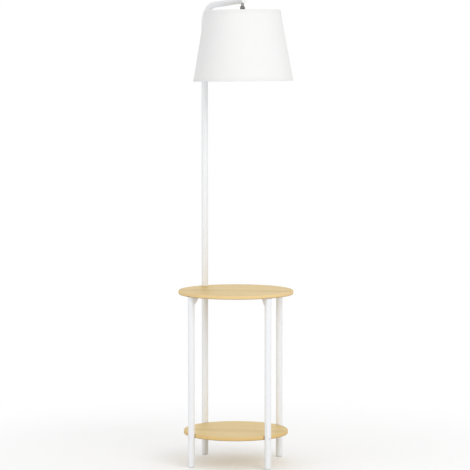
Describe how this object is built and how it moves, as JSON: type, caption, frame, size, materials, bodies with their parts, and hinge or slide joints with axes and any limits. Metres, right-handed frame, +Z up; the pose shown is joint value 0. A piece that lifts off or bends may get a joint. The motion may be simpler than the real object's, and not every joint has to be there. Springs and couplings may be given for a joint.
{
  "type": "floor lamp with table",
  "caption": "Round side table on tube legs with a lower shelf; one leg rises as a pole and bends over the table to carry a tapered fabric shade on a tilt joint.",
  "frame": {"origin": "on the floor, under the middle of the table", "axes": "+Z up along the pole; the legs stand at the corners of a square whose sides run along X and Y; -Y is the front and the pole is at the back left (-X, +Y)"},
  "size_m": [0.3874, 0.3874, 1.5606],
  "materials": {
    "light_wood": "pale wood-grain face with a satin lacquer",
    "white_tube": "smooth white powder coat, semi-gloss",
    "white_plastic": "white moulded plastic",
    "zinc_steel": "bright zinc plating",
    "white_bolt": "white painted steel",
    "brass_insert": "plain brass",
    "lead_sheath": "smooth white sheath",
    "dark_nickel": "polished dark nickel plating",
    "holder_plastic": "white moulded plastic",
    "holder_ceramic": "unglazed white ceramic",
    "bulb_metal": "rolled aluminium",
    "opal_glass": "opal white, unlit",
    "white_fabric": "plain-weave white cloth, laminated",
    "shade_backing": "translucent white sheet",
    "white_wire": "white coated wire"
  },
  "bodies": {
    "stand": {"table_top": "light_wood", "lower_shelf": "light_wood", "leg_front_left": "white_tube", "leg_front_right": "white_tube", "leg_back_right": "white_tube", "leg_back_left": "white_tube", "leg_bracket_front_left": "white_tube", "leg_bracket_front_right": "white_tube", "leg_bracket_back_right": "white_tube", "foot_cap_front_left": "white_plastic", "foot_cap_front_right": "white_plastic", "foot_cap_back_right": "white_plastic", "foot_cap_back_left": "white_plastic", "bracket_screws": "zinc_steel", "shelf_bolts": "white_bolt", "shelf_inserts": "brass_insert", "leg_plug": "zinc_steel", "pole_plug_bottom": "zinc_steel", "pole_plug_top": "zinc_steel", "arm_plug": "zinc_steel", "board_stud": "zinc_steel", "pole_stud": "zinc_steel", "pole_lower": "white_tube", "arm_tube": "white_tube", "arm_end_cap": "white_tube", "cable_grommet": "white_plastic", "inner_lead": "lead_sheath", "knuckle_upper": "dark_nickel", "stem_nut": "zinc_steel"},
    "shade": {"knuckle_lower": "dark_nickel", "knuckle_screw": "dark_nickel", "holder_cap": "holder_plastic", "holder_skirt": "holder_plastic", "holder_insert": "holder_ceramic", "screw_shell": "brass_insert", "centre_contact": "brass_insert", "holder_lead": "lead_sheath", "bulb_base": "bulb_metal", "bulb_glass": "opal_glass", "shade_fabric": "white_fabric", "shade_liner": "shade_backing", "shade_bottom_ring": "white_wire", "shade_top_ring": "white_wire", "shade_spider": "white_wire", "retaining_ring": "holder_plastic"}
  },
  "joints": [
    {"name": "shade_tilt", "type": "hinge", "parent": "stand", "child": "shade", "pos_m": [0.02652, -0.02652, 1.523], "axis": [-0.7071, -0.7071, 0], "range_deg": [-5, 30]}
  ]
}
